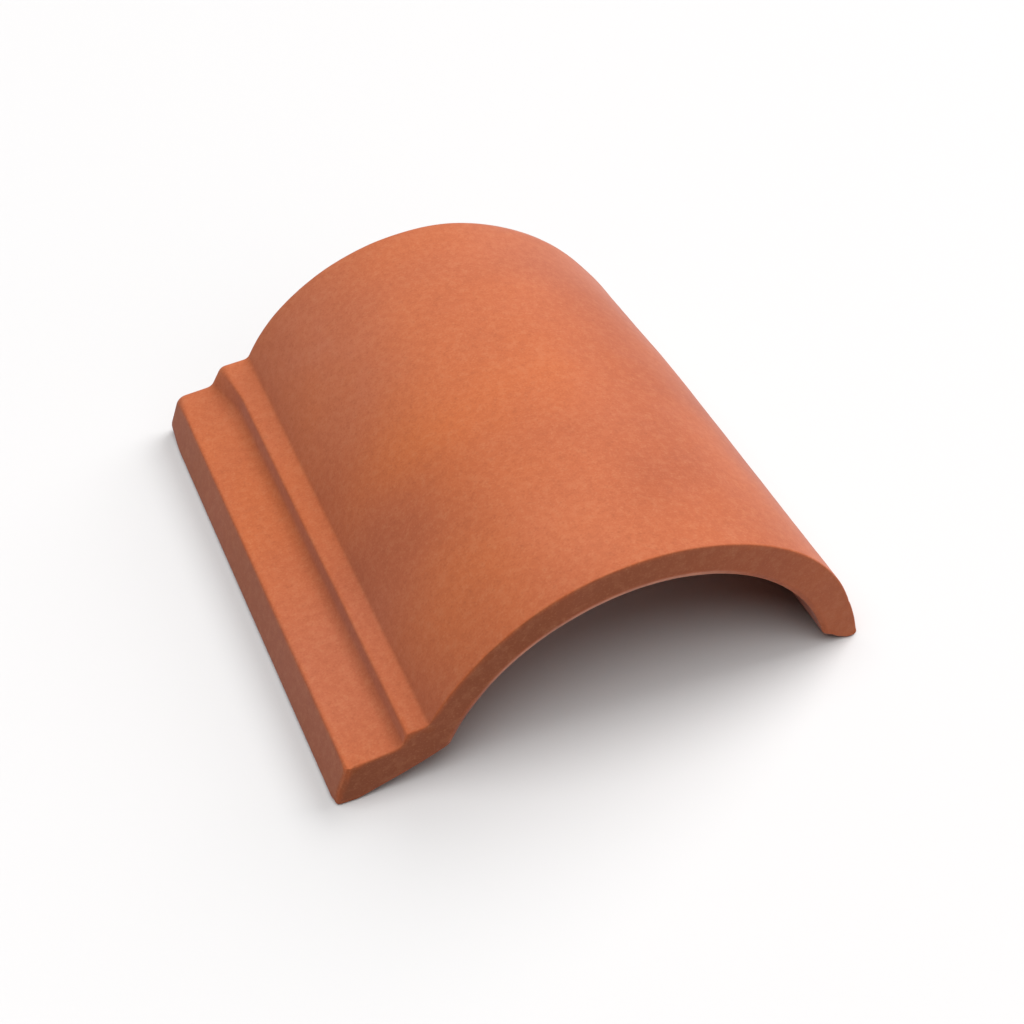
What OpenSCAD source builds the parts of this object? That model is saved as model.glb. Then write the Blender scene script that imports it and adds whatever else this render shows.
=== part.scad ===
// Clay roof tile: a round barrel with a stepped side flange, moulded and fired as one piece.
// It lies as it would on a floor: the flange's seat strip and the barrel's foot touch Z = 0.
// X runs across the tile with the flange at the left, Y runs from the front end to the back end.
// The origin is the middle of the tile's footprint.

/* [Overall] */
// Length from the front end to the back end
tile_l = 240; // [150:1:450]
// Height of the barrel's crown above the floor
crown_h = 82.5; // [66:0.5:100]
// How far the back end is out of square, in degrees; the flange's side is the longer one
back_turn = 1.7; // [0:0.1:4]

/* [Barrel] */
// Outer radius of the barrel
barrel_r = 103; // [84:0.5:124]
// Thickness of the clay in the barrel
wall = 15; // [9:0.1:20]
// Width of the flat strip that the barrel's free edge stands on
foot_w = 5.5; // [2:0.1:8]
// Height of the slope on the inside of the foot
foot_bevel = 6; // [1:0.1:12]
// Size of the bevel around the hollow at both ends
mouth_bevel = 1.8; // [0.5:0.1:4]

/* [Flange] */
// Width from the outer edge to the crease where the barrel starts
flange_w = 38.9; // [30:0.1:60]
// Height of the flange's outer top edge
flange_h = 19; // [14:0.1:22]
// Rise of the flange's top towards the rib, in degrees
flange_rise = 7; // [0:0.5:10]
// How far the outer side leans in from its bottom to its top
side_lean = 6.5; // [0:0.5:12]
// Width of the strip that the flange stands on
seat_w = 9; // [5:0.5:14]
// Height of the edge where the underside meets the hollow
lip_h = 14.4; // [8:0.1:18]
// How far the underside bellies below a straight line
belly = 1; // [0.2:0.1:3]

/* [Rib] */
// Height of the rib's flat top
rib_h = 29; // [24:0.1:36]
// Width of the rib's flat top
rib_w = 8.3; // [3:0.1:12]
// Width of the slope from the flange up to the rib
riser_w = 2.2; // [1:0.1:8]
// How far the rib spreads over the flange at the back end
flare_w = 5; // [1:0.1:10]
// Length over which the rib spreads
flare_l = 26; // [10:1:60]
// How far the spreading part's top lies below the rib's top
flare_drop = 0.3; // [0.1:0.1:1]

/* [Rounding] */
// Radius of the flange's outer edges
edge_r = 2; // [0.5:0.1:3.5]
// Radius of the hollow corner at the bottom of the riser
groove_r = 7; // [1:0.1:9]

/* [Hidden] */
clay = "#c6714d";
smooth = 180;
arc_steps = 8;
past = 1;

inner_r = barrel_r - wall;
axis_z = crown_h - barrel_r;
// Half width of a circle about the barrel's axis, at height z above the floor
function half_w(r, z) = sqrt(r * r - pow(z - axis_z, 2));
axis_from_edge = flange_w + half_w(barrel_r, rib_h);
tile_w = axis_from_edge + half_w(barrel_r, 0);
axis_x = axis_from_edge - tile_w / 2;
left_x = -tile_w / 2;
foot_x = tile_w / 2;
crease_x = left_x + flange_w;
rib_x = crease_x - rib_w;
riser_x = rib_x - riser_w;
lip_x = axis_x - half_w(inner_r, lip_h);
seat_x = left_x + seat_w;
// Where the barrel's axis meets the back end
back_y = tile_l / 2 - (axis_x - left_x) * tan(back_turn);
// Where the side and the floor would meet without the rounded edge
side_angle = atan2(flange_h, side_lean);
toe_x = left_x - edge_r * (1 / tan(side_angle / 2) - 1);
// Height of the flange's sloping top at a place across the tile
function top_z(x) = flange_h + (x - toe_x - side_lean) * tan(flange_rise);

// Arc that rounds the corner at b between the lines to a and c, as near radius r as they leave room
function rounded(a, b, c, r) =
    let (
        u = (a - b) / norm(a - b),
        v = (c - b) / norm(c - b),
        half = acos(u * v) / 2,
        room = 0.9 * min(norm(a - b), norm(c - b)) * tan(half),
        arc_r = min(r, room),
        mid = (u + v) / norm(u + v),
        centre = b + mid * arc_r / sin(half),
        first = b + u * arc_r / tan(half) - centre,
        last = b + v * arc_r / tan(half) - centre
    )
    [for (i = [0 : arc_steps])
        let (way = first * (1 - i / arc_steps) + last * i / arc_steps)
        centre + way * arc_r / norm(way)];

// Flange and rib from the outer edge inwards; its plain right part lies inside the barrel
module flange_outline() {
    outer_bottom = [toe_x, 0];
    outer_top = [toe_x + side_lean, flange_h];
    groove = [riser_x, top_z(riser_x)];
    rib_edge = [rib_x, rib_h];
    polygon(concat(
        rounded([seat_x, 0], outer_bottom, outer_top, edge_r),
        rounded(outer_bottom, outer_top, groove, edge_r),
        rounded(outer_top, groove, rib_edge, groove_r),
        [rib_edge, [axis_x, rib_h], [axis_x, 0]]
    ));
}

// Large circle whose lower edge is the slightly bellied underside, from the seat to the lip
module underside_circle() {
    seat = [seat_x, 0];
    lip = [lip_x, lip_h];
    chord = norm(lip - seat);
    r = (chord * chord / 4 + belly * belly) / (2 * belly);
    along = (lip - seat) / chord;
    centre = (seat + lip) / 2 + [-along.y, along.x] * (r - belly);
    translate(centre) circle(r = r, $fn = smooth);
}

// Everything above the underside, and above the floor to the right of the lip
module above_underside() {
    split_x = (lip_x + axis_x) / 2;
    underside_circle();
    translate([split_x, 0]) square([tile_w, crown_h + past]);
}

// Below this line the inside of the foot slopes down to the strip that it stands on
module foot_slope() {
    strip = [foot_x - foot_w, 0];
    along = [axis_x + half_w(inner_r, foot_bevel), foot_bevel] - strip;
    polygon([strip - along, strip + 2 * along, [axis_x, 2 * foot_bevel], [axis_x, -foot_bevel]]);
}

// The whole section: X across the tile, Y up from the floor
module section() {
    difference() {
        intersection() {
            union() {
                flange_outline();
                translate([axis_x, axis_z]) circle(r = barrel_r, $fn = smooth);
            }
            above_underside();
            translate([left_x - past, 0]) square([tile_w + 2 * past, crown_h + past]);
        }
        translate([axis_x, axis_z]) circle(r = inner_r, $fn = smooth);
        foot_slope();
    }
}

// Sweeps a section drawn in X and Z along Y, from one place towards the back
module run(from_y, length) {
    translate([0, from_y + length, 0]) rotate([90, 0, 0]) linear_extrude(length) children();
}

// The rib's outer slope turns outward over the last stretch before the back end
module rib_flare() {
    turn = atan(flare_w / flare_l);
    rise = rib_h - top_z(riser_x);
    root = [-riser_w / 2, top_z(riser_x) - rise / 2];
    slope_top = [riser_w - flare_drop * riser_w / rise, rib_h - flare_drop];
    reach = crease_x - riser_x + flare_w + wall / 4;
    intersection() {
        translate([riser_x, tile_l / 2 - flare_l, 0]) rotate([0, 0, turn])
            run(-riser_w, 2 * flare_l)
            polygon([root, slope_top, [reach, slope_top.y], [reach, root.y]]);
        run(0, tile_l / 2 + past) translate([left_x, 0]) square([tile_w, crown_h]);
    }
}

// Widens the rim of the hollow where its axis meets an end; it opens towards +Y
module mouth_cone() {
    translate([0, -mouth_bevel - past, 0]) rotate([-90, 0, 0])
        cylinder(h = mouth_bevel + 2 * past, r1 = inner_r - past, r2 = inner_r + mouth_bevel + past,
            $fn = smooth);
}

// The space behind the back end, which turns about the flange's outer corner
module behind_back() {
    translate([left_x, tile_l / 2, -past]) rotate([0, 0, -back_turn])
        translate([-tile_w, 0, 0]) cube([3 * tile_w, tile_w, crown_h + 2 * past]);
}

module tile() {
    color(clay) difference() {
        union() {
            run(-tile_l / 2, tile_l + past) section();
            rib_flare();
        }
        behind_back();
        translate([axis_x, back_y, axis_z]) rotate([0, 0, -back_turn]) mouth_cone();
        translate([axis_x, -tile_l / 2, axis_z]) rotate([0, 0, 180]) mouth_cone();
    }
}

tile();
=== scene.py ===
import math
import bpy
import numpy as np
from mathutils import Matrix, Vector, noise


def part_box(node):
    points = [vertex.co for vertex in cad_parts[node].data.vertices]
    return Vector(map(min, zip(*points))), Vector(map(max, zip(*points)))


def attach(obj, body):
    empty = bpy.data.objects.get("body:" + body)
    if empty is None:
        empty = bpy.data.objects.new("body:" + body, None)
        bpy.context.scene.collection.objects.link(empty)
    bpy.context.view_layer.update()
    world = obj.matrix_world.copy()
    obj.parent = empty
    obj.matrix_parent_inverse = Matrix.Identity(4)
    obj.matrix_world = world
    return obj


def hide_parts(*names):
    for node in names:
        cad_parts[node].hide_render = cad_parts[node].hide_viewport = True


# One clay roof tile, moulded and fired in one piece, lying on a pale floor.
# X runs across the tile, Y from the front end to the back end, Z up.
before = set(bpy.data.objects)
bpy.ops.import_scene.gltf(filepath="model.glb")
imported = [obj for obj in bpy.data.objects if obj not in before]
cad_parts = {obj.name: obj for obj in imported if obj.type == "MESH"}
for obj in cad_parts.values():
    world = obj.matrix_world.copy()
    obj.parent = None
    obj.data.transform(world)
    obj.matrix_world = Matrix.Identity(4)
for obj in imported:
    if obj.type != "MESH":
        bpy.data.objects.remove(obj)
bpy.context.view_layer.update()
mm = 0.001
tileLow, tileHigh = [Vector(corner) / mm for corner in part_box("tile")]
tileL = tileHigh.y - tileLow.y

# Shape of the tile in millimetres; its length, width and height come from the frame
tileShape = {
    "barrelR": 103.0,       # outer radius of the round part
    "wall": 15.4,           # thickness of the clay at the crown
    "hollowShift": 1.0,     # the core sat this far towards the flange, so the foot's side is thicker
    "footW": 5.5,           # strip that the free edge stands on
    "footBevel": 6.0,       # height of the slope inside the foot
    "flangeW": 38.9,        # outer edge to the crease
    "flangeH": 19.0,        # outer top edge above the floor
    "flangeRise": 7.0,      # degrees
    "sideLean": 6.5,        # the side's top lies this far in from its bottom
    "seatW": 9.0,           # strip that the flange stands on
    "lipH": 14.4,           # where the flange's underside meets the hollow, above the floor
    "belly": 1.0,           # underside of the flange, below a straight line
    "ribH": 28.2,           # outer top edge of the rib above the floor
    "ribRise": 2.6,         # how much higher the rib's top is at the back end
    "ribW": 8.7,            # its top, from that edge to the crease
    "ribTilt": 1.1,         # its top rises by this towards the barrel
    "riserW": 2.2,          # its outer slope leans in by this
    "flareRoot": 6.0,       # the bottom of that slope spreads by this at the back end
    "flareTop": 2.8,        # and the rib's top edge by this
    "flareL": 30.0,         # over this length
    "flareEase": 0.15,      # softens the start of the spread
    "backTurn": 1.7,        # degrees that the back end is out of square
    "softL": 20.0,          # the corners grow rounder over this length before the back end
    "softEase": 1.5,        # above 1, they do so late
    "leastR": 0.3,          # no corner is sharper than this
}
# Radius of each corner of the section: along the tile, and at its softer back end
cornerRadii = {
    "toe": (2.0, 5.0), "flangeEdge": (1.9, 6.5), "groove": (4.4, 3.4), "ribEdge": (1.5, 5.5),
    "crease": (2.0, 3.2), "footOuter": (2.2, 3.0), "footInner": (1.2, 1.6), "footTop": (4.0, 4.0),
    "lip": (1.6, 2.0), "seatEnd": (6.0, 6.0),
}
# How far each face draws in at the front end and at the back end, where the mould's edge was softer
endRounding = {
    "side": (2.4, 3.6), "flangeTop": (1.3, 2.8), "riser": (1.2, 2.4), "ribTop": (1.2, 2.6),
    "crown": (0.95, 2.2), "footStrip": (1.2, 2.4), "footSlope": (1.5, 2.2), "hollow": (2.3, 1.8),
    "underside": (1.2, 2.0), "seat": (1.2, 2.6),
}
# The hollow's rim was cut with a knife: steeper than the other edges, and more a bevel (1) than round (0)
knifeCut = {"steep": 2.4, "bevel": 0.85}
# How the barrel left a true circle as it dried, in degrees up from the right and in millimetres
barrelSag = {
    "bulges": [             # (degrees, degrees wide, out along the tile, out at the back end)
        (135, 14, 0.0, 0.8), (114, 14, 0.6, 0.7), (72, 10, -0.2, 0.0), (46, 15, 0.7, 0.0),
        (38, 14, 0.0, -2.1), (24, 8, -0.8, -0.5), (11, 9, -1.4, -1.4),
    ],
    "backL": 100,           # the back end's own shape grows over this length
    "besideRib": (143, 151),    # degrees over which it all fades out before the rib
    "insideClay": (3, 6),   # how far out from the hollow it begins and is whole, so the hollow stays round
    "overFoot": (0, 8),     # the upward part grows between these heights, so the foot stays down
    "rimR": 7.0,            # the back rim's outer edge is rounder on the right, by this radius,
    "rimDrawnOut": 1.9,     # drawn out this many times along the tile,
    "rimAngles": (48, 92),  # fading out between these degrees
    "rimFoot": (8, 30),     # and between these
}
# Quads along each stretch of the section and along the tile
meshCounts = {
    "side": 10, "flangeTop": 14, "riser": 4, "ribTop": 6, "crown": 186,
    "footStrip": 3, "footSlope": 8, "underside": 20, "seat": 5,
    "halfCorner": 3, "groove": 6, "ribEdge": 4, "crease": 4, "footInner": 2, "footTop": 2,
    "lip": 4, "seatEnd": 3, "middleRings": 106,
}


def smooth(value, low, high):
    # 0 below the low value, 1 above the high one, easing in between
    t = np.clip((value - low) / (high - low), 0, 1)
    return t * t * (3 - 2 * t)


def point(x, z):
    return np.array([float(x), float(z)])


def line(start, towards):
    # A straight face, with the clay on the right of its direction
    way = (towards - start) / np.linalg.norm(towards - start)
    return {"at": start, "way": way, "into": np.array([way[1], -way[0]])}


def circle(centre, radius, clayInside):
    return {"at": centre, "radius": radius, "sign": 1 if clayInside else -1}


def pushed(face, depth):
    # The same face, moved into the clay
    if "radius" in face:
        return dict(face, radius=face["radius"] - face["sign"] * depth)
    return dict(face, at=face["at"] + face["into"] * depth)


def meeting(a, b, near):
    # The crossing of two faces that lies closest to a known place
    if "radius" in a and "radius" not in b:
        a, b = b, a
    if "radius" not in b:
        reach = np.linalg.solve(np.array([a["way"], -b["way"]]).T, b["at"] - a["at"])
        return a["at"] + a["way"] * reach[0]
    if "radius" in a:
        gap = b["at"] - a["at"]
        apart = np.linalg.norm(gap)
        along = (apart ** 2 + a["radius"] ** 2 - b["radius"] ** 2) / (2 * apart)
        middle = a["at"] + gap / apart * along
        way = np.array([-gap[1], gap[0]]) / apart
        half = math.sqrt(max(a["radius"] ** 2 - along ** 2, 0))
    else:
        along = np.dot(b["at"] - a["at"], a["way"])
        middle = a["at"] + a["way"] * along
        way = a["way"]
        half = math.sqrt(max(b["radius"] ** 2 - np.sum((b["at"] - middle) ** 2), 0))
    return min((middle + way * half, middle - way * half), key=lambda p: np.sum((p - near) ** 2))


def nearestOn(face, place):
    if "radius" in face:
        out = place - face["at"]
        return face["at"] + out / np.linalg.norm(out) * face["radius"]
    return face["at"] + face["way"] * np.dot(place - face["at"], face["way"])


def stretch(face, start, end, count):
    # Points from start towards end along a face, without the last one
    steps = np.arange(count)[:, None] / count
    if "radius" not in face:
        return start + (end - start) * steps
    first, last = [math.atan2(*(p - face["at"])[::-1]) for p in (start, end)]
    turn = (last - first + math.pi) % (2 * math.pi) - math.pi
    angles = first + turn * steps[:, 0]
    return face["at"] + face["radius"] * np.stack([np.cos(angles), np.sin(angles)], 1)


class Section:
    # The tile's outline across X and Z; it is worked out again for each place along Y

    def __init__(self, y):
        s = tileShape
        spread = flareAt(y)
        ribH = s["ribH"] + s["ribRise"] * ((y - tileLow.y) / tileL)
        soft = min(max(1 - (tileHigh.y - y) / s["softL"], 0), 1) ** s["softEase"]
        self.radii = {name: a + (b - a) * soft for name, (a, b) in cornerRadii.items()}
        leftX, rightX = tileLow.x, tileHigh.x
        axisZ = tileHigh.z - s["barrelR"]

        def halfW(r, z):
            # Half the width of a circle about the barrel's axis, at a height above the floor
            return math.sqrt(r * r - (z - axisZ) ** 2)

        axisX = rightX - halfW(s["barrelR"], 0)
        hollowX = axisX - s["hollowShift"]
        self.innerR = s["barrelR"] - s["wall"]
        self.axis = point(axisX, axisZ)
        self.hollowAt = point(hollowX, axisZ)

        # The flange's side and top, and the rib
        sideAngle = math.atan2(s["flangeH"], s["sideLean"])
        toeX = leftX - cornerRadii["toe"][0] * (1 / math.tan(sideAngle / 2) - 1)
        edge = point(toeX + s["sideLean"], s["flangeH"])
        rise = math.tan(math.radians(s["flangeRise"]))
        creaseX = leftX + s["flangeW"]
        ribX = creaseX - s["ribW"]
        rootX = ribX - s["riserW"] - s["flareRoot"] * spread
        groove = point(rootX, s["flangeH"] + (rootX - edge[0]) * rise)
        ribEdge = point(ribX - s["flareTop"] * spread, ribH)
        ribEnd = point(creaseX, ribH + s["ribTilt"])

        # The foot, and the underside of the flange
        strip = point(rightX - s["footW"], 0)
        slopeTop = point(hollowX + halfW(self.innerR, s["footBevel"]), s["footBevel"])
        seat = point(leftX + s["seatW"], 0)
        lip = point(hollowX - halfW(self.innerR, s["lipH"]), s["lipH"])
        chord = np.linalg.norm(lip - seat)
        bellyR = (chord ** 2 / 4 + s["belly"] ** 2) / (2 * s["belly"])
        along = (lip - seat) / chord
        bellyAt = (seat + lip) / 2 + np.array([-along[1], along[0]]) * (bellyR - s["belly"])

        self.faces = {
            "side": line(point(toeX, 0), edge),
            "flangeTop": line(edge, groove),
            "riser": line(groove, ribEdge),
            "ribTop": line(ribEdge, ribEnd),
            "crown": circle(self.axis, s["barrelR"], True),
            "footStrip": line(point(rightX, 0), strip),
            "footSlope": line(strip, slopeTop),
            "hollow": circle(self.hollowAt, self.innerR, False),
            "underside": circle(bellyAt, bellyR, True),
            "seat": line(seat, point(toeX, 0)),
        }
        # Each corner: the faces before and after it, 1 where it sticks out and -1 where it goes in
        self.corners = {
            "toe": ("seat", "side", 1, point(toeX, 0)),
            "flangeEdge": ("side", "flangeTop", 1, edge),
            "groove": ("flangeTop", "riser", -1, groove),
            "ribEdge": ("riser", "ribTop", 1, ribEdge),
            "crease": ("ribTop", "crown", -1, ribEnd),
            "footOuter": ("crown", "footStrip", 1, point(rightX, 0)),
            "footInner": ("footStrip", "footSlope", 1, strip),
            "footTop": ("footSlope", "hollow", 1, slopeTop),
            "lip": ("hollow", "underside", 1, lip),
            "seatEnd": ("underside", "seat", 1, seat),
        }

    def outline(self, depths):
        # Closed loop of points, from the middle of the toe's corner over the top and back underneath,
        # and how many points it has up to the end of the flange's side, of the top and of the foot
        faces = {name: pushed(face, depths[name]) for name, face in self.faces.items()}
        bends = {}
        for name, (before, after, sign, near) in self.corners.items():
            depth = max(depths[before], depths[after])
            radius = max(self.radii[name] - sign * depth, tileShape["leastR"])
            a, b = [pushed(faces[side], sign * radius) for side in (before, after)]
            centre = meeting(a, b, near)
            bends[name] = (circle(centre, radius, True), nearestOn(faces[before], centre),
                           nearestOn(faces[after], centre))
        counts = meshCounts
        half = counts["halfCorner"]
        parts = []

        def corner(name):
            parts.append(stretch(*bends[name], counts[name]))

        def halfCorner(name, first):
            full = stretch(*bends[name], 2 * half)
            parts.append(full[:half] if first else full[half:])

        def face(name, before, after, count):
            parts.append(stretch(faces[name], bends[before][2], bends[after][1], count))

        def pointsSoFar():
            return sum(len(part) for part in parts)

        halfCorner("toe", False)
        face("side", "toe", "flangeEdge", counts["side"])
        halfCorner("flangeEdge", True)
        sideEnd = pointsSoFar()
        halfCorner("flangeEdge", False)
        face("flangeTop", "flangeEdge", "groove", counts["flangeTop"])
        corner("groove")
        face("riser", "groove", "ribEdge", counts["riser"])
        corner("ribEdge")
        face("ribTop", "ribEdge", "crease", counts["ribTop"])
        corner("crease")
        face("crown", "crease", "footOuter", counts["crown"])
        halfCorner("footOuter", True)
        topEnd = pointsSoFar()
        halfCorner("footOuter", False)
        face("footStrip", "footOuter", "footInner", counts["footStrip"])
        corner("footInner")
        face("footSlope", "footInner", "footTop", counts["footSlope"])
        footEnd = pointsSoFar()
        if footEnd - topEnd != sideEnd:
            raise ValueError(f"foot {footEnd - topEnd} and side {sideEnd} rows differ")
        corner("footTop")
        rest = half + sum(counts[name] for name in ("footTop", "lip", "underside", "seatEnd", "seat"))
        face("hollow", "footTop", "lip", topEnd - sideEnd - rest)
        corner("lip")
        face("underside", "lip", "seatEnd", counts["underside"])
        corner("seatEnd")
        face("seat", "seatEnd", "toe", counts["seat"])
        halfCorner("toe", True)
        return np.concatenate(parts), (sideEnd, topEnd, footEnd)

    def sagged(self, loop, fromBack):
        # Moves the points of the barrel's outside towards or away from its axis
        c = barrelSag
        out = loop - self.axis
        far = np.linalg.norm(out, axis=1)
        angle = np.degrees(np.arctan2(out[:, 1], out[:, 0]))
        late = 1 - smooth(fromBack, 0, c["backL"])
        shift = sum((most + (back - most) * late) * np.exp(-((angle - at) / wide) ** 2)
                    for at, wide, most, back in c["bulges"])
        soft = drawIn(c["rimR"], fromBack / c["rimDrawnOut"], 0)
        soft = max(soft - drawIn(endRounding["crown"][1], fromBack, 0), 0)
        shift -= soft * (1 - smooth(angle, *c["rimAngles"])) * smooth(angle, *c["rimFoot"])
        shift *= (1 - smooth(angle, *c["besideRib"])) * smooth(far - self.innerR, *c["insideClay"])
        moved = out / far[:, None] * shift[:, None]
        moved[:, 1] *= smooth(loop[:, 1], *c["overFoot"])
        return loop + moved


def drawIn(radius, distance, bevel):
    # How far a face lies inside its outline at a distance from the tile's end
    if distance >= radius:
        return 0.0
    curve = radius - math.sqrt(radius ** 2 - (radius - distance) ** 2)
    return curve * (1 - bevel) + (radius - distance) * bevel


def ringPlaces(low, high):
    # Places along Y: close together at both ends, even in between
    nearEnd = np.array([0.0, 0.03, 0.1, 0.22, 0.38, 0.6, 0.86, 1.15, 1.5, 1.95, 2.5, 3.2, 4.1])
    evenFrom = 5.4
    middle = np.linspace(low + evenFrom, high - evenFrom, meshCounts["middleRings"])
    return np.concatenate([low + nearEnd, middle, high - nearEnd[::-1]])


def flareAt(y):
    # 0 along most of the tile, rising to 1 at the back end
    s = tileShape
    t = min(max((y - tileHigh.y + s["flareL"]) / s["flareL"], 0), 1)
    return t * t * (1 + s["flareEase"]) / (t + s["flareEase"])


def turnedBack(x, y):
    # The tile grows shorter from the flange's side to the foot's
    short = (x - tileLow.x) * math.tan(math.radians(tileShape["backTurn"]))
    return y - short * (y - tileLow.y) / tileL


def endDepths(fromFront, fromBack):
    # How far each face is drawn in at a place along the tile
    depths = {}
    for name, (front, back) in endRounding.items():
        steep, bevel = (knifeCut["steep"], knifeCut["bevel"]) if name == "hollow" else (1, 0)
        depths[name] = drawIn(front, fromFront * steep, bevel) + drawIn(back, fromBack * steep, bevel)
    return depths


def endGrid(loop, ends):
    # Fills one end between its top and bottom outlines, row by row
    sideEnd, topEnd, footEnd = ends
    left = loop[:sideEnd + 1]
    top = loop[sideEnd:topEnd + 1]
    right = loop[topEnd:footEnd + 1][::-1]
    bottom = np.concatenate([loop[footEnd:], loop[:1]])[::-1]
    v = np.arange(sideEnd + 1)[:, None, None] / sideEnd
    grid = bottom[None] * (1 - v) + top[None] * v
    fade = 12       # columns over which a side's own curve dies out
    for side, column, order in ((left, 0, 1), (right, topEnd - sideEnd, -1)):
        straight = side[0] + (side[-1] - side[0]) * v[:, 0]
        for i in range(fade):
            weight = (1 - i / fade) ** 2
            grid[:, column + order * i] += (side - straight) * weight
    return grid


def endNumbers(gridShape, ends, count, first, newFirst):
    # Numbers of the points in one end's grid: its rim uses the ring's own, its inside has new ones
    sideEnd, _, footEnd = ends
    rows, columns = gridShape[0] - 1, gridShape[1] - 1
    numbers = np.zeros((rows + 1, columns + 1), int)
    numbers[:, 0] = first + np.arange(rows + 1)
    numbers[rows, :] = first + sideEnd + np.arange(columns + 1)
    numbers[:, columns] = first + footEnd - np.arange(rows + 1)
    numbers[0, :] = first + (count - np.arange(columns + 1)) % count
    inside = (rows - 1) * (columns - 1)
    numbers[1:-1, 1:-1] = newFirst + np.arange(inside).reshape(rows - 1, columns - 1)
    return numbers


def gridQuads(numbers):
    # One quad for each cell of a grid of point numbers
    cells = [numbers[:-1, :-1], numbers[:-1, 1:], numbers[1:, 1:], numbers[1:, :-1]]
    return np.stack(cells, -1).reshape(-1, 4)


# Unevenness of the moulded clay, always cut into it; sizes and depths in millimetres
clayRelief = {
    "waves": [(60.0, 0.22), (17.0, 0.09), (6.0, 0.035)],    # (size, depth)
    "waveSeed": (3.1, 7.7),
    "clearOfFloor": (0.2, 4.0),     # fades to nothing between these heights, so the strips stay flat
    "chipRagged": 0.35,     # share by which a chip's radius wanders
    "chipBite": 0.9,        # over this distance
    "chips": [              # (place, radius, depth): knocks on the corners, most of them at the front end
        ((-107.3, -119.4, 18.8), 3.2, 0.7),
        ((-83.9, -119.6, 28.2), 2.8, 0.45),
        ((-75.8, -119.7, 28.0), 2.6, 0.4),
        ((-115.0, -118.6, 1.8), 3.0, 0.5),
        ((108.6, -119.6, 23.0), 2.4, 0.45),
        ((55.5, -119.8, 73.0), 2.2, 0.3),
        ((-52.0, -119.8, 57.5), 2.6, 0.3),
        ((-108.4, 40.0, 18.9), 2.0, 0.25),
        ((-108.6, -62.0, 18.9), 1.8, 0.2),
        ((-84.5, 12.0, 29.2), 1.8, 0.2),
    ],
}


def roughen(points, normals):
    # Moves every point a little way into the clay
    c = clayRelief
    depth = np.zeros(len(points))
    for size, most in c["waves"]:
        seed = Vector((size, *c["waveSeed"]))
        values = [noise.noise(Vector(p) / size + seed) for p in points]
        depth += most * np.clip(0.5 + np.array(values), 0, 1)
    depth *= smooth(points[:, 2], *c["clearOfFloor"])
    for place, radius, most in c["chips"]:
        away = np.linalg.norm(points - np.array(place), axis=1)
        for i in np.nonzero(away < radius * (1 + c["chipRagged"]))[0]:
            wander = noise.noise(Vector(points[i]) / c["chipBite"])
            ragged = radius * (1 + c["chipRagged"] * wander)
            depth[i] += most * max(1 - (away[i] / ragged) ** 2, 0)
    return np.clip(points - normals * depth[:, None], tileLow, tileHigh)


# Where the material's marks lie, in millimetres; a turn is 1 for a face that looks squarely that way
clayMarks = {
    "kiln": [               # (place, reach, amount): the kiln left it hotter (+) or cooler (-)
        ((-70, -45, 44), 34, -0.26), ((-52, 85, 58), 52, 0.20), ((-42, -8, 66), 40, 0.34),
        ((6, 12, 82), 44, 0.22), ((-7, -88, 80), 26, 0.20), ((-46, -90, 63), 30, 0.34),
        ((50, -85, 76), 56, -0.22), ((70, 60, 66), 50, -0.25), ((98, -20, 45), 44, -0.22),
        ((-100, 60, 20), 50, 0.20),
    ],
    "kilnWander": 9,        # how far the outlines of those patches stray
    "salts": [              # the same where salts dried out of it
        ((-54, 92, 57), 44, 0.8), ((-100, -70, 20), 46, 0.7), ((-45, 40, 64), 34, 0.5),
        ((-8, -90, 80), 30, 0.5), ((70, 95, 66), 45, 0.6), ((30, -40, 60), 26, 0.3),
    ],
    "saltsWander": 12,
    "wanderSize": 32,       # size of the bends in their outlines
    "wanderSeed": 3,
    "wornAndShadedEdges": (0.6, 3.0),     # wear and a painted shade line fade out between these distances from an edge
    "endWear": 2.0,         # this many times sooner along the rims of the ends
    "grooveShadeReach": (0.5, 4.5),     # painted shade, with dirt, fades out between these distances from the groove
    "endTurn": (0.45, 0.9),     # turn along the tile that makes a face count as an end, which gets painted shade
    "endFade": 0.85,        # the ends' painted shade fades by this share
    "endFadeX": (-30, 95),  # between these places across the tile
    "sideTurn": (0.55, 0.9),    # turn to the left that makes it count as the flange's side, which gets painted shade
    "sideW": 12,            # and how near it lies to the flange's outer edge
    "sideMost": 0.55,
    "bevelIn": -1,          # the painted highlight on the hollow's bevel starts this far outside the hollow's surface
    "bevelOut": (2.1, 2.6),     # and fades out between these,
    "bevelDeep": (1.0, 1.6),    # and between these distances from the end
    "bevelX": ((-62, -40), (30, 62)),   # painted highlight from the first pair to the second across the tile
}


def patchesAt(points, patches, wander):
    # Sum of soft patches whose outlines wander by some millimetres
    noise.seed_set(clayMarks["wanderSeed"])     # or they would wander otherwise at each run
    drift = [noise.noise_vector(Vector(p) / clayMarks["wanderSize"]) for p in points]
    moved = points + np.array(drift) * wander
    return sum(most * np.exp(-np.sum((moved - np.array(place)) ** 2, axis=1) / reach ** 2)
               for place, reach, most in patches)


def addShade(mesh, name, values):
    attribute = mesh.attributes.new(name, "FLOAT", "POINT")
    attribute.data.foreach_set("value", np.clip(values, 0, 1).astype(np.float32))


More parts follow.
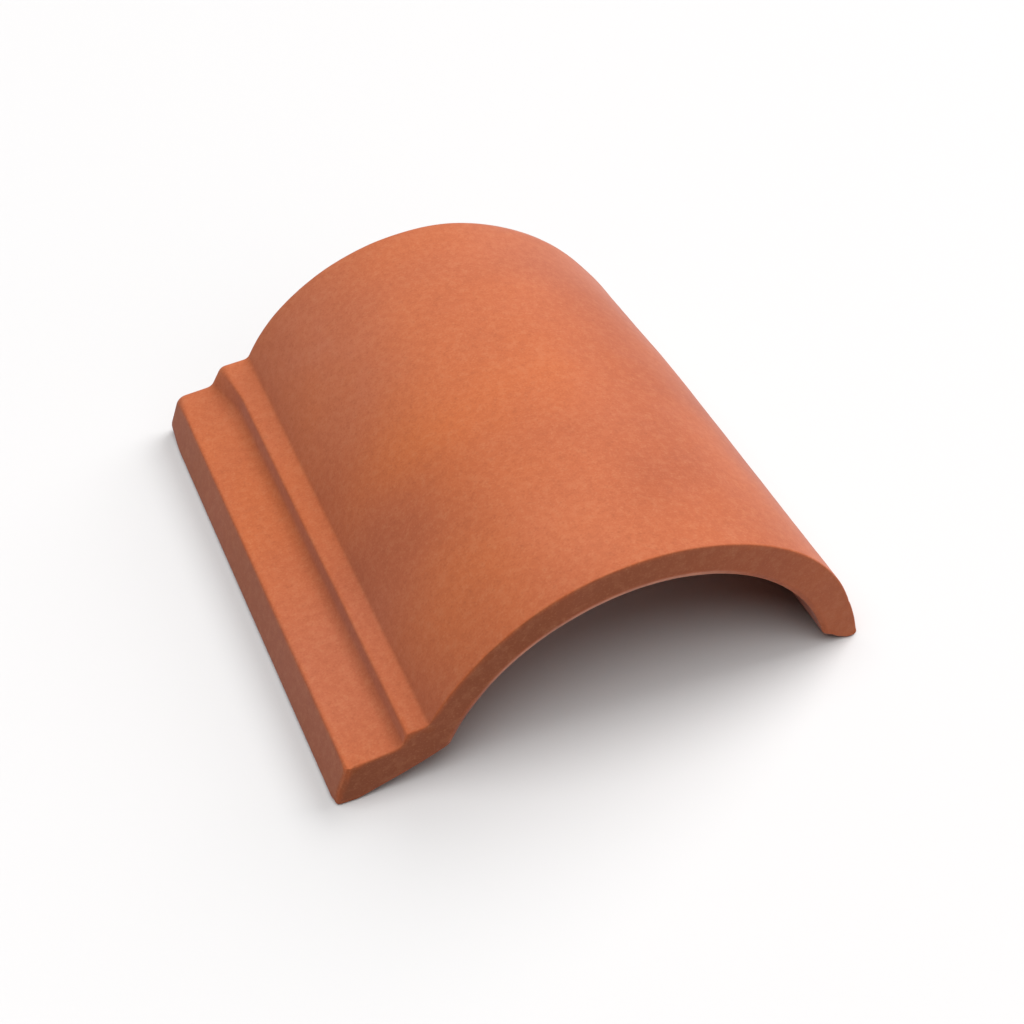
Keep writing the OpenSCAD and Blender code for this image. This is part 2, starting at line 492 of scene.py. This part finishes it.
def addMarks(mesh, points, rims, places, sections):
    # Tells the material where to paint shade on the ends, the side, the groove and the edges, where to
    # paint light on the mouth's bevel, and where the clay is worn, mottled and so on
    c = clayMarks
    normals = np.zeros(points.size, np.float32)
    mesh.vertices.foreach_get("normal", normals)
    across, along, _ = normals.reshape(-1, 3).T
    x = points[:, 0]

    def reach(name):
        # How far each point lies from one of the section's corners
        at = np.array([section.corners[name][3] for section in sections])
        cornerX, cornerZ = [np.interp(points[:, 1], places, at[:, i]) for i in (0, 1)]
        return np.hypot(x - cornerX, points[:, 2] - cornerZ)

    # Edges: wear, and a painted shade line that makes them darker and redder
    edges = np.minimum.reduce([reach("toe"), reach("flangeEdge"), reach("ribEdge"), rims * c["endWear"]])
    addShade(mesh, "wornAndShadedEdges", 1 - smooth(edges, *c["wornAndShadedEdges"]))
    # Painted shade and dirt, darkest at the groove's corner
    addShade(mesh, "hollow", 1 - smooth(reach("groove"), *c["grooveShadeReach"]))
    addShade(mesh, "kiln", 0.5 + patchesAt(points, c["kiln"], c["kilnWander"]))     # 0.5 is neither
    addShade(mesh, "salts", patchesAt(points, c["salts"], c["saltsWander"]))
    # Painted shade on the ends and the flange's side, fading towards the foot
    endShade = smooth(np.abs(along), *c["endTurn"]) * (1 - c["endFade"] * smooth(x, *c["endFadeX"]))
    sideShade = c["sideMost"] * smooth(-across, *c["sideTurn"]) * (x < tileLow.x + c["sideW"])
    addShade(mesh, "paintedEndShade", np.maximum(endShade, sideShade))
    # Painted highlight along the mouth's inner bevel, where light from the floor would fall
    fromHollow = np.hypot(*(points[:, [0, 2]] - sections[0].hollowAt).T) - sections[0].innerR
    bevel = (fromHollow > c["bevelIn"]) * (1 - smooth(fromHollow, *c["bevelOut"]))
    bevel = bevel * (1 - smooth(rims, *c["bevelDeep"]))
    begins, ends = c["bevelX"]
    addShade(mesh, "paintedRimLight", bevel * smooth(x, *begins) * (1 - smooth(x, *ends)))


def buildTile():
    places = ringPlaces(tileLow.y, tileHigh.y)
    sections = [Section(y) for y in places]
    points = []
    rims = []           # how far each point lies from the edge of the nearer end
    for section, y in zip(sections, places):
        fromFront, fromBack = y - tileLow.y, tileHigh.y - y
        loop, ends = section.outline(endDepths(fromFront, fromBack))    # the ends' counts never change
        loop = section.sagged(loop, fromBack)
        points.append(np.column_stack([loop[:, 0], turnedBack(loop[:, 0], y), loop[:, 1]]))
        rims.append(np.full(len(loop), min(fromFront, fromBack)))
    count = len(points[0])
    around = np.arange(count * len(places)).reshape(len(places), count)
    quads = [gridQuads(np.column_stack([around, around[:, 0]]))]
    total = around.size
    for ring in (0, len(places) - 1):
        outline = points[ring][:, [0, 2]]
        grid = endGrid(outline, ends)
        numbers = endNumbers(grid.shape, ends, count, ring * count, total)
        inner = grid[1:-1, 1:-1].reshape(-1, 2)
        points.append(np.column_stack([inner[:, 0], turnedBack(inner[:, 0], places[ring]), inner[:, 1]]))
        rims.append(np.array([np.linalg.norm(outline - p, axis=1).min() for p in inner]))
        total += len(inner)
        cells = gridQuads(numbers)
        quads.append(cells if ring == 0 else cells[:, ::-1])
    points = np.concatenate(points)
    mesh = bpy.data.meshes.new("roofTile")
    mesh.from_pydata((points * mm).tolist(), [], np.concatenate(quads).tolist())
    normals = np.zeros(points.size, np.float32)
    mesh.vertices.foreach_get("normal", normals)
    points = roughen(points, normals.reshape(-1, 3))
    mesh.vertices.foreach_set("co", (points * mm).astype(np.float32).ravel())
    mesh.update()
    addMarks(mesh, points, np.concatenate(rims), places, sections)
    mesh.polygons.foreach_set("use_smooth", [True] * len(mesh.polygons))
    tile = bpy.data.objects.new("roofTile", mesh)
    bpy.context.scene.collection.objects.link(tile)
    print("tile mesh:", len(mesh.vertices), "points,", len(mesh.polygons), "quads")
    return tile


def linearColour(hexText):
    # sRGB hex to the linear values that the nodes work with
    values = [int(hexText[i:i + 2], 16) / 255 for i in (1, 3, 5)]
    return [v / 12.92 if v <= 0.04045 else ((v + 0.055) / 1.055) ** 2.4 for v in values] + [1.0]


def addNode(tree, kind, settings, links):
    # Settings are properties or socket values; links are socket name or number: (node, output name)
    node = tree.nodes.new(kind)
    for name, value in settings.items():
        if name in node.inputs:
            node.inputs[name].default_value = value
        else:
            setattr(node, name, value)
    for name, (source, output) in links.items():
        tree.links.new(source.outputs[output], node.inputs[name])
    return node


# Unglazed terracotta, pressed in a plaster mould and fired once: a dry, nearly matt body that
# mottles where the kiln was hotter, with sand and iron grains through it
terracottaLook = {
    "body": "#A15432",
    "hotter": "#AD5B30",        # where the fire reached it better
    "cooler": "#8E462A",
    "salts": "#A9634A",         # a thin bloom drawn out as it dried
    "ironGrain": "#7C4026",
    "sandGrain": "#B67C58",
    "grooveShadeAndDirt": "#743A20",     # painted shade in the groove's corner, with dirt left there
    "edgeWearAndShade": "#A2502A",       # painted shade line along the edges, darker and redder, together with wear from handling
    "paintedRimLight": "#D3987F",        # painted highlight: a pale line on the mouth's inner bevel, as if lit from the floor below
    "paintedEndShade": "#6D3618",       # painted shade on the ends and the flange's side, the faces turned from the lamps, lighter towards the foot
    "patterns": {               # (size in mm, detail, roughness)
        "mottle": (45.0, 1.0, 0.4),
        "patches": (13.0, 4.0, 0.55),
        "clots": (3.2, 2.0, 0.5),   # sandy clusters
        "grains": (0.9, 1.0, 0.5),  # real grains are nearer 0.4 mm, drawn coarser to stay visible
        "tooth": (1.4, 3.0, 0.6),   # the mould's plaster tooth
    },
    # Laid over the body in turn: (colour, what it follows, from, to, most), and where something
    # breaks it up, (what does, from, to, least)
    "layers": [
        ("hotter", "heat", 0.50, 1.0, 1.0, None),
        ("cooler", "heat", 0.50, 0.0, 1.0, None),
        ("salts", "salts", 0.0, 1.0, 0.7, ("patches", 0.25, 0.75, 0.5)),
        # painted shade on the ends and the flange's side
        ("paintedEndShade", "paintedEndShade", 0.0, 1.0, 0.85, ("mottle", 0.3, 0.7, 0.7)),
        # painted shade and dirt in the groove
        ("grooveShadeAndDirt", "hollow", 0.0, 1.0, 0.07, ("patches", 0.3, 0.6, 0.6)),
        # wear and painted shade along the edges
        ("edgeWearAndShade", "wornAndShadedEdges", 0.1, 1.0, 0.5, ("patches", 0.40, 0.60, 0.3)),
        # painted highlight on the mouth's inner bevel
        ("paintedRimLight", "paintedRimLight", 0.0, 1.0, 0.45, ("patches", 0.3, 0.6, 0.5)),
        ("sandGrain", "clots", 0.48, 0.72, 0.14, None),
        ("ironGrain", "clots", 0.50, 0.28, 0.14, None),
        ("ironGrain", "grains", 0.44, 0.24, 0.3, None),
        ("sandGrain", "grains", 0.56, 0.78, 0.2, None),
    ],
    "heatSwing": 0.14,          # how far the mottle alone moves it towards hotter or cooler
    "toothBump": (0.3, 0.08),   # strength, and height in mm
    "grainBump": (0.2, 0.04),
    "usualNoise": (0.3, 0.7),   # a pattern's values seldom leave this range
    "roughness": (0.81, 0.91),  # wanders between these with the patches
    "ior": 1.5,                 # fired clay is close to glass
    "gloss": 0.25,              # porous, so it mirrors less than its index says
    "sheen": 0.15,              # dust that catches light at a low angle
    "sheenRoughness": 0.4,
    "dust": "#E6F2FF",          # colour of that light, a little cold
}


def terracotta():
    c = terracottaLook
    material = bpy.data.materials.new("mouldedTerracotta")
    material.use_nodes = True
    tree = material.node_tree
    tree.nodes.clear()
    place = addNode(tree, "ShaderNodeTexCoord", {}, {})
    sources = {}
    for name, (sizeMm, detail, roughness) in c["patterns"].items():
        settings = {"Scale": 1 / (sizeMm * mm), "Detail": detail, "Roughness": roughness}
        pattern = addNode(tree, "ShaderNodeTexNoise", settings, {"Vector": (place, "Object")})
        sources[name] = (pattern, "Fac")
    for name in ("wornAndShadedEdges", "hollow", "paintedEndShade", "kiln", "salts", "paintedRimLight"):
        sources[name] = (addNode(tree, "ShaderNodeAttribute", {"attribute_name": name}, {}), "Fac")
    usualLow, usualHigh = c["usualNoise"]
    swing = addNode(tree, "ShaderNodeMapRange", {
        "From Min": usualLow, "From Max": usualHigh, "To Min": -c["heatSwing"], "To Max": c["heatSwing"]},
        {"Value": sources["mottle"]})
    heat = addNode(tree, "ShaderNodeMath", {"operation": "ADD"}, {0: (swing, "Result"), 1: sources["kiln"]})
    sources["heat"] = (heat, "Value")

    body = addNode(tree, "ShaderNodeRGB", {}, {})
    body.outputs["Color"].default_value = linearColour(c["body"])
    colour = (body, "Color")
    for name, follows, low, high, most, breaker in c["layers"]:
        settings = {"From Min": low, "From Max": high, "To Max": most}
        amount = (addNode(tree, "ShaderNodeMapRange", settings, {"Value": sources[follows]}), "Result")
        if breaker:
            what, low, high, least = breaker
            settings = {"From Min": low, "From Max": high, "To Min": least}
            broken = addNode(tree, "ShaderNodeMapRange", settings, {"Value": sources[what]})
            product = addNode(tree, "ShaderNodeMath", {"operation": "MULTIPLY"},
                              {0: amount, 1: (broken, "Result")})
            amount = (product, "Value")
        painted = addNode(tree, "ShaderNodeMix", {"data_type": "RGBA", "B": linearColour(c[name])},
                          {"A": colour, "Factor": amount})
        colour = (painted, "Result")

    smoother, rougher = c["roughness"]
    roughness = addNode(tree, "ShaderNodeMapRange", {
        "From Min": usualLow, "From Max": usualHigh, "To Min": smoother, "To Max": rougher},
        {"Value": sources["patches"]})
    strength, height = c["toothBump"]
    coarse = addNode(tree, "ShaderNodeBump", {"Strength": strength, "Distance": height * mm},
                     {"Height": sources["tooth"]})
    strength, height = c["grainBump"]
    fine = addNode(tree, "ShaderNodeBump", {"Strength": strength, "Distance": height * mm},
                   {"Height": sources["grains"], "Normal": (coarse, "Normal")})
    surface = addNode(tree, "ShaderNodeBsdfPrincipled", {
        "IOR": c["ior"], "Specular IOR Level": c["gloss"], "Sheen Weight": c["sheen"],
        "Sheen Roughness": c["sheenRoughness"], "Sheen Tint": linearColour(c["dust"])},
        {"Base Color": colour, "Roughness": (roughness, "Result"), "Normal": (fine, "Normal")})
    addNode(tree, "ShaderNodeOutputMaterial", {}, {"Surface": (surface, "BSDF")})
    print("terracotta:", len(tree.nodes), "nodes")
    return material


# Matt pale grey paint, rolled on: no gloss, so the lamps leave no glint on it
floorLook = {"colour": "#C0BFBF", "roughness": 0.9, "reach": 6.0}   # reach in metres


def paleFloor():
    material = bpy.data.materials.new("paleFloor")
    material.use_nodes = True
    surface = material.node_tree.nodes["Principled BSDF"]
    surface.inputs["Base Color"].default_value = linearColour(floorLook["colour"])
    surface.inputs["Roughness"].default_value = floorLook["roughness"]
    mesh = bpy.data.meshes.new("floor")
    reach = floorLook["reach"]
    corners = [(-reach, -reach, 0), (reach, -reach, 0), (reach, reach, 0), (-reach, reach, 0)]
    mesh.from_pydata(corners, [], [(0, 1, 2, 3)])
    mesh.materials.append(material)
    floor = bpy.data.objects.new("floor", mesh)
    bpy.context.scene.collection.objects.link(floor)
    print("floor:", 2 * reach, "m square")


# Where the camera stands, in degrees and millimetres
cameraPlace = {
    "heading": 23.035,      # turned right from the tile's length
    "pitch": 42.972,        # downwards
    "distance": 766.27,
    "aim": (2.72, -14.06, 18.96),
    "lens": 62.65,
    "sensor": 36,
    "clipEnd": 50000,       # beyond all of the floor
}


def addCamera():
    c = cameraPlace
    heading, pitch = math.radians(c["heading"]), math.radians(c["pitch"])
    forward = Vector((math.sin(heading) * math.cos(pitch), math.cos(heading) * math.cos(pitch),
                      -math.sin(pitch)))
    data = bpy.data.cameras.new("camera")
    data.lens = c["lens"]
    data.sensor_width = c["sensor"]
    data.clip_end = c["clipEnd"] * mm
    camera = bpy.data.objects.new("camera", data)
    camera.location = (Vector(c["aim"]) - forward * c["distance"]) * mm
    camera.rotation_euler = forward.to_track_quat("-Z", "Y").to_euler()
    bpy.context.scene.collection.objects.link(camera)
    bpy.context.scene.camera = camera
    print("camera:", c["distance"], "mm away")


# Three soft boxes: one nearly overhead, one from the back right, and a weak one that fills the front;
# where each comes from, its spread in degrees and its strength
studioLights = {
    "overhead": {"from": (-0.17, -0.10, 1.0), "spread": 62.0, "strength": 3.2},
    "backRight": {"from": (0.74, 0.29, 0.66), "spread": 46.0, "strength": 3.5},
    "frontFill": {"from": (0.50, -0.78, 0.40), "spread": 60.0, "strength": 0.65},
}
# The room's own white light, and how pale the room looks to the camera
studioRoom = {"fill": 0.07, "backdrop": 1.05, "colour": "#FFFFFF"}


def addLights():
    world = bpy.data.worlds.new("studio")
    world.use_nodes = True
    tree = world.node_tree
    tree.nodes.clear()
    white = linearColour(studioRoom["colour"])
    rays = addNode(tree, "ShaderNodeLightPath", {}, {})
    fill, backdrop = [addNode(tree, "ShaderNodeBackground", {"Color": white, "Strength": strength}, {})
                      for strength in (studioRoom["fill"], studioRoom["backdrop"])]
    both = addNode(tree, "ShaderNodeMixShader", {}, {
        "Fac": (rays, "Is Camera Ray"), 1: (fill, "Background"), 2: (backdrop, "Background")})
    addNode(tree, "ShaderNodeOutputWorld", {}, {"Surface": (both, "Shader")})
    bpy.context.scene.world = world
    for name, light in studioLights.items():
        data = bpy.data.lights.new(name, "SUN")
        data.energy = light["strength"]
        data.angle = math.radians(light["spread"])
        lamp = bpy.data.objects.new(name, data)
        lamp.rotation_euler = Vector(light["from"]).to_track_quat("Z", "Y").to_euler()
        bpy.context.scene.collection.objects.link(lamp)
    print("studio:", len(studioLights), "soft lights")


tile = buildTile()
tile.data.materials.append(terracotta())
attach(tile, "root")
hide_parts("tile")
paleFloor()
addCamera()
addLights()
bpy.context.scene.view_settings.view_transform = "Standard"
